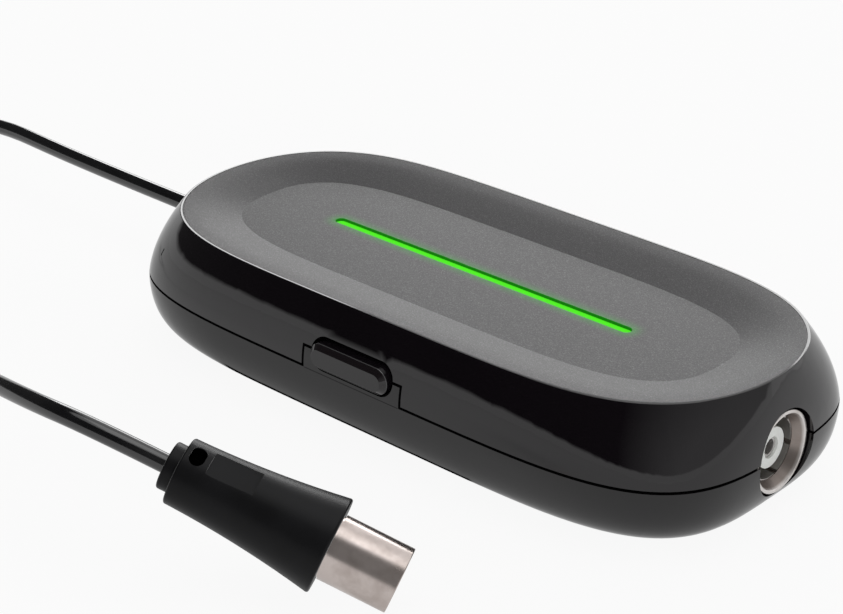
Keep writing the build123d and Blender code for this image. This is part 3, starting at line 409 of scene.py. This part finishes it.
# Top panel
panelLook = {
    "base": (0.052, 0.050, 0.052),
    "lightFleck": (0.13, 0.125, 0.13),
    "darkFleck": (0.020, 0.020, 0.021),
    "fleckScale": 5200.0,
    "amount": 0.6,
    "sparkleRange": (0.0, 0.5),
    "roughRange": (0.55, 0.42),  # on the ground, and on the brightest flecks
    "specular": 0.4,
    "bump": 0.35,
    "depth": 0.02 * mm,
    "glowColour": (0.0, 1.0, 0.0),
    "glowReach": 2.9 * mm,
    "glowFall": 2.7,  # power of the fall with distance
    "glowStrength": 0.15,
    "barSpillColour": (0.012, 0.026, 0.010),  # painted green light of the bar on the panel beside it
    "barHalfLength": 29.7 * mm,
    "barHalfWidth": 1.0 * mm,
}


def panelMaterial(look):
    material, tree, shader = startMaterial("speckledPanel", {
        "Specular IOR Level": look["specular"], "Emission Strength": look["glowStrength"],
    })
    flecks = useGroup(tree, fleckedLacquer, {
        "Base": rgba(look["base"]), "Light Fleck": rgba(look["lightFleck"]),
        "Dark Fleck": rgba(look["darkFleck"]), "Fleck Scale": look["fleckScale"], "Amount": look["amount"],
    })
    rough = stretch(tree, flecks["Sparkle"], *look["sparkleRange"], *look["roughRange"])
    feed(tree, shader["Roughness"], rough)
    bumpInto(tree, shader, flecks["Height"], look)
    # painted light: the lit bar's glow on the panel, as emission and a green tint in the base colour, fades
    # with the distance from its slot
    place = placeParts(tree)
    beyond = mathNode(tree, "SUBTRACT", mathNode(tree, "ABSOLUTE", place["X"]), look["barHalfLength"])
    beyond = mathNode(tree, "MAXIMUM", beyond, 0.0)
    along, aside = (mathNode(tree, "MULTIPLY", value, value) for value in (beyond, place["Y"]))
    distance = mathNode(tree, "SQRT", mathNode(tree, "ADD", along, aside))
    distance = mathNode(tree, "SUBTRACT", distance, look["barHalfWidth"])
    share = stretch(tree, distance, 0.0, look["glowReach"], 1.0, 0.0)
    share = mathNode(tree, "POWER", share, look["glowFall"])
    feed(tree, shader["Base Color"], mixColour(tree, share, flecks["Colour"], rgba(look["barSpillColour"])))
    feed(tree, shader["Emission Color"], mixColour(tree, share, black, rgba(look["glowColour"])))
    return material


materials["speckledPanel"] = panelMaterial(panelLook)

# Light bar
barLook = {
    "core": (0.085, 0.84, 0.02),
    "edge": (0.06, 0.72, 0.012),
    "strength": 1.0,
    "unlit": (0.01, 0.05, 0.005),
    "roughness": 0.6,
    "specular": 0.05,
    "edgeRange": (0.55 * mm, 0.97 * mm),  # from the middle line, where core turns to edge
    "driftScale": 90.0,
    "driftDetail": 1.0,
    "driftRange": (0.4, 0.7),
    "driftShare": 0.12,
}


def barMaterial(look):
    material, tree, shader = startMaterial("litBar", {
        "Roughness": look["roughness"], "Base Color": rgba(look["unlit"]),
        "Specular IOR Level": look["specular"], "Emission Strength": look["strength"],
    })
    share = stretch(tree, mathNode(tree, "ABSOLUTE", placeParts(tree)["Y"]), *look["edgeRange"])
    drift = noise(tree, objectPlace(tree), look["driftScale"], Detail=look["driftDetail"])
    drift = stretch(tree, drift, *look["driftRange"], 0.0, look["driftShare"])
    share = mathNode(tree, "ADD", share, drift, clamp=True)
    feed(tree, shader["Emission Color"], mixColour(tree, share, rgba(look["core"]), rgba(look["edge"])))
    return material


materials["litBar"] = barMaterial(barLook)

# Socket shell
# painted shade deeper in the socket's funnel
funnelShade = {"heading": (1, 0, 0), "low": 57.9 * mm, "high": 58.3 * mm, "shade": (0.42, 0.38, 0.36)}


def shadeAlong(material, heading, low, high, shade):
    # painted shade: multiplies the base colour by a darker tint below a place along a heading
    tree = material.node_tree
    base = tree.nodes["Principled BSDF"].inputs["Base Color"]
    along = vectorNode(tree, "DOT_PRODUCT", objectPlace(tree), heading).outputs["Value"]
    tint = mixColour(tree, stretch(tree, along, low, high), rgba(shade), white)
    feed(tree, base, mixColour(tree, 1.0, base.links[0].from_socket, tint, blend="MULTIPLY"))


shadeAlong(materials["nickel"], **funnelShade)

# Plug body
plugEyeShade = {
    "middle": (8.824 * mm, -68.628 * mm, 16.217 * mm),
    "heading": (0.4597, -0.1055, 0.8818),
    "reach": 1.8 * mm,  # round the eye's own axis
    "axisPoint": (34.53 * mm, -54.96 * mm, 4.454 * mm),
    "axisHeading": (0.818655, 0.435286, -0.374607),
    "depth": 4.72 * mm,  # from the plug's axis
    "shade": (0.001, 0.001, 0.001),
}


def paintHollowShade(material, look):
    # painted shade: takes colour and gloss away inside the eye, a small hollow in the round body
    tree = material.node_tree
    shader = tree.nodes["Principled BSDF"].inputs
    base, gloss = shader["Base Color"], shader["Specular IOR Level"]
    place = objectPlace(tree)

    def distanceTo(point, direction):
        offset = vectorNode(tree, "SUBTRACT", place, point).outputs[0]
        cross = vectorNode(tree, "CROSS_PRODUCT", offset, direction).outputs[0]
        return vectorNode(tree, "LENGTH", cross).outputs["Value"]

    near = mathNode(tree, "LESS_THAN", distanceTo(look["middle"], look["heading"]), look["reach"])
    deep = mathNode(tree, "LESS_THAN", distanceTo(look["axisPoint"], look["axisHeading"]), look["depth"])
    inside = mathNode(tree, "MULTIPLY", near, deep)
    feed(tree, base, mixColour(tree, inside, base.links[0].from_socket, rgba(look["shade"])))
    feed(tree, gloss, stretch(tree, inside, 0.0, 1.0, gloss.default_value, 0.0))


paintHollowShade(materials["plugBlack"], plugEyeShade)

finishes = {
    "upper_shell": "glossBlack", "lower_shell": "baseGloss", "top_panel": "speckledPanel",
    "light_bar": "litBar", "light_guide": "clearGuide", "light_diodes": "diodeResin",
    "button_cap": "buttonGloss", "switch_body": "switchBlack", "switch_plunger": "plungerBrown",
    "circuit_board": "boardGreen", "shield_frame": "tinnedSteel", "shield_lid": "tinnedSteel",
    "amplifier_chip": "chipBlack", "voltage_regulator": "chipBlack", "filter_windings": "copperWire",
    "ferrite_core": "ferriteGrey", "capacitors": "canAluminium", "power_jack": "jackBlack",
    "power_pin": "platedPin", "socket_shell": "nickel", "contact_sleeve": "sleeveNickel",
    "socket_insulator": "whiteCore", "socket_contact": "contactPin",
    "cable_gland": "glandBlack", "cable_clamp": "switchBlack", "case_screws": "steelScrew",
    "board_screws": "steelScrew", "clamp_screws": "steelScrew", "rubber_feet": "footRubber",
    "cable_tail": "jacket", "cable_core": "copperWire", "output_cable": "jacket", "cable_coil": "jacket",
    "plug_lead": "jacket", "cable_tie": "tieBlack", "plug_body": "plugBlack", "plug_collar": "plugBlack",
    "plug_sleeve": "plugNickel", "plug_insulator": "plugCore", "plug_pin": "platedPin",
}
for name, piece in nodes.items():
    for slot in piece.material_slots:
        slot.material = materials[finishes[name]]
print("materials given to", len(finishes), "nodes")

# Lead, from the gland to the plug
lead = {
    "diameter": 2.8 * mm,
    "exit": (-63.4 * mm, 0, 12.1 * mm),
    "toCoil": [
        (-97.0 * mm, 0, 12.1 * mm),
        (-130.0 * mm, 2.3 * mm, 11.9 * mm),
        (-145.0 * mm, 0, 5.35 * mm),
    ],
    "coilX": -156.5 * mm,
    "coilRadii": [19.2, 17.55, 15.9, 14.25, 12.6, 10.95, 12.6, 14.25, 15.9, 17.55, 19.2],  # mm, each half turn
    "coilHigh": 5.35 * mm,
    "coilLow": 2.05 * mm,
    "coilStub": 2.8 * mm,
    "pointsPerHalfTurn": 8,
    "toPlug": [
        (-141.0 * mm, -41.7 * mm, 2.05 * mm),
        (-123.0 * mm, -47.0 * mm, 1.7 * mm),
        (-101.0 * mm, -55.0 * mm, 3.0 * mm),
        (-80.0 * mm, -62.0 * mm, 7.0 * mm),
        (-58.0 * mm, -67.5 * mm, 12.5 * mm),
        (-36.0 * mm, -71.0 * mm, 17.0 * mm),
        (-16.3 * mm, -75.8 * mm, 21.5 * mm),
        (-4.029 * mm, -75.462 * mm, 22.098 * mm),
    ],
    "end": (5.795 * mm, -70.239 * mm, 17.603 * mm),
    "length": 0.799,  # metres, from the gland to the plug
    "curveOrder": 3,
    "stepsPerSpan": 8,
    "roundSteps": 7,
    "plugPieces": ("plug_collar", "plug_body", "plug_sleeve", "plug_insulator", "plug_pin"),
    "otherPieces": ("cable_tie", "cable_gland", "cable_tail"),
}


def coilPoints(settings):
    points = []
    count = settings["pointsPerHalfTurn"]
    high, low = settings["coilHigh"], settings["coilLow"]
    spread = 1 / cos(pi / (2 * count))
    climb = len(settings["coilRadii"]) // 2
    y = 0.0
    for turn, size in enumerate(settings["coilRadii"]):
        radius = size * mm
        side = -1 if turn % 2 == 0 else 1
        middle = y + side * radius
        for step in range(count):
            share = (step + 0.5) / count
            x = settings["coilX"] + side * radius * spread * sin(pi * share)
            across = middle - side * radius * spread * cos(pi * share)
            level = high if turn < climb else low
            if turn == climb:
                level = high + (low - high) * share
            points.append((x, across, level))
        y += side * 2 * radius
    return points, y


def leadCurve(settings):
    loops, exitY = coilPoints(settings)
    into = (settings["coilX"] + settings["coilStub"], 0, settings["coilHigh"])
    out = (settings["coilX"] + settings["coilStub"], exitY, settings["coilLow"])
    route = [settings["exit"], *settings["toCoil"], into, *loops, out, *settings["toPlug"], settings["end"]]
    data = bpy.data.curves.new("lead", "CURVE")
    data.dimensions = "3D"
    data.bevel_depth = settings["diameter"] / 2
    data.bevel_resolution = settings["roundSteps"]
    data.resolution_u = settings["stepsPerSpan"]
    data.use_fill_caps = True
    spline = data.splines.new("NURBS")
    spline.points.add(len(route) - 1)
    for point, place in zip(spline.points, route):
        point.co = (*place, 1)
    spline.order_u = settings["curveOrder"]
    spline.use_endpoint_u = True
    cable = bpy.data.objects.new("lead", data)
    bpy.context.collection.objects.link(cable)
    data.materials.append(materials["jacket"])
    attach(cable, "housing")
    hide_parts("output_cable", "cable_coil", "plug_lead")
    # the photograph's casing doesn't mirror the lead and the plug
    for piece in (cable, *(nodes[name] for name in settings["plugPieces"])):
        piece.visible_glossy = False


leadCurve(lead)
print("lead laid out")

# Floor, light and studio
floorLook = {
    "size": 3.0,
    "colour": (0.86, 0.86, 0.86),
    "roughness": 0.9,
    "seenWhite": 0.92,  # share of plain white for the camera
    "mirroredWhite": 0.6,  # and for reflections
}
cardLook = {
    "radius": 1.1,
    "front": -90,  # degrees, where the other two start
    "from": -126,
    "to": 131,
    "low": 0.1,
    "high": 62,
    "rows": 12,
    "columns": 48,
    "colour": (0.002, 0.002, 0.002),
    "rightFade": (0.3, 1.0, 0.0, 0.5),  # from one place to another, and the glow at each
    "leftFade": (-0.6, -1.1, 0.0, 0.06),
    "footFade": (0.09, 0.14, 0.87, 0.0),
    "unseenBy": ("visible_camera", "visible_diffuse", "visible_shadow", "visible_transmission"),
}
worldLook = {"ambient": 0.38}
# metres and watts
lamps = {
    "backLamp": {"place": (-0.7, 1.4, 0.5), "aim": (0, 0, 0.01), "size": (1.6, 0.6), "power": 11.3,
                 "mirrored": True},
    "topLamp": {"place": (0.1, 0.1, 1.5), "aim": (0, 0, 0.01), "size": (1.0, 1.0), "power": 3,
                "mirrored": True},
    "frontLamp": {"place": (1.3, -0.9, 0.42), "aim": (0.05, 0, 0.01), "size": (0.3, 0.3), "power": 6,
                  "mirrored": False},
}


def addMesh(name, bm, material):
    mesh = bpy.data.meshes.new(name)
    bm.to_mesh(mesh)
    bm.free()
    mesh.materials.append(material)
    piece = bpy.data.objects.new(name, mesh)
    bpy.context.collection.objects.link(piece)
    return piece


def makeFloor(look):
    material, tree = startMaterial("paleFloor", {
        "Base Color": rgba(look["colour"]), "Roughness": look["roughness"], "Specular IOR Level": 0.0,
    })[:2]
    # the camera sees the floor near white with a soft shadow, and reflections see it evenly pale
    rays = addNode(tree, "LightPath").outputs
    mirrored = mathNode(tree, "MAXIMUM", rays["Is Glossy Ray"], rays["Is Transmission Ray"])
    mirrored = mathNode(tree, "MULTIPLY", mirrored, look["mirroredWhite"])
    seen = mathNode(tree, "MULTIPLY", rays["Is Camera Ray"], look["seenWhite"])
    share = mathNode(tree, "MAXIMUM", seen, mirrored)
    glow = addNode(tree, "Emission", {"Strength": 1.0}).outputs[0]
    plain = tree.nodes["Principled BSDF"].outputs[0]
    blend = addNode(tree, "MixShader", {0: share, 1: plain, 2: glow}).outputs[0]
    feed(tree, tree.nodes["Material Output"].inputs["Surface"], blend)
    bm = bmesh.new()
    bmesh.ops.create_grid(bm, x_segments=1, y_segments=1, size=look["size"])
    addMesh("floor", bm, material)


def makeCard(look):
    # a dark card round the front, seen only in reflections, as a product photographer would stand one there
    material, tree, shader = startMaterial("darkCard", {
        "Base Color": rgba(look["colour"]), "Roughness": 1.0, "Specular IOR Level": 0.0,
        "Emission Color": white,
    })
    # the card grows paler towards both ends and towards the floor
    place = placeParts(tree)
    right, left = (stretch(tree, place["X"], *look[fade]) for fade in ("rightFade", "leftFade"))
    sides = mathNode(tree, "ADD", right, left)
    glow = mathNode(tree, "MAXIMUM", sides, stretch(tree, place["Z"], *look["footFade"]))
    feed(tree, shader["Emission Strength"], glow)
    radius = look["radius"]
    low, high = radians(look["low"]), radians(look["high"])
    start = radians(look["front"] + look["from"])
    bm = bmesh.new()
    arc = []
    for step in range(look["rows"] + 1):
        rise = low + (high - low) * step / look["rows"]
        flat = radius * cos(rise)
        arc.append(bm.verts.new((flat * cos(start), flat * sin(start), radius * sin(rise))))
    edges = [bm.edges.new(pair) for pair in zip(arc, arc[1:])]
    bmesh.ops.spin(bm, geom=arc + edges, cent=(0, 0, 0), axis=(0, 0, 1), steps=look["columns"],
                   angle=radians(look["to"] - look["from"]))
    card = addMesh("darkCard", bm, material)
    for ray in look["unseenBy"]:
        setattr(card, ray, False)


def makeWorld(look):
    world = bpy.data.worlds.new("studioWorld")
    bpy.context.scene.world = world
    world.use_nodes = True
    tree = world.node_tree
    background = tree.nodes["Background"].inputs
    background["Color"].default_value = white
    rays = addNode(tree, "LightPath").outputs
    seen = mathNode(tree, "MAXIMUM", rays["Is Camera Ray"], rays["Is Glossy Ray"])
    seen = mathNode(tree, "MAXIMUM", seen, rays["Is Transmission Ray"])
    feed(tree, background["Strength"], stretch(tree, seen, 0.0, 1.0, look["ambient"], 1.0))


def makeLamp(name, look):
    data = bpy.data.lights.new(name, "AREA")
    data.shape = "RECTANGLE"
    data.size, data.size_y = look["size"]
    data.energy = look["power"]
    lamp = bpy.data.objects.new(name, data)
    bpy.context.collection.objects.link(lamp)
    lamp.location = look["place"]
    lamp.rotation_mode = "QUATERNION"
    lamp.rotation_quaternion = (Vector(look["aim"]) - Vector(look["place"])).to_track_quat("-Z", "Y")
    lamp.visible_glossy = look["mirrored"]


makeFloor(floorLook)
makeCard(cardLook)
makeWorld(worldLook)
for name, look in lamps.items():
    makeLamp(name, look)
bpy.context.scene.view_settings.view_transform = "Standard"
print("studio set")
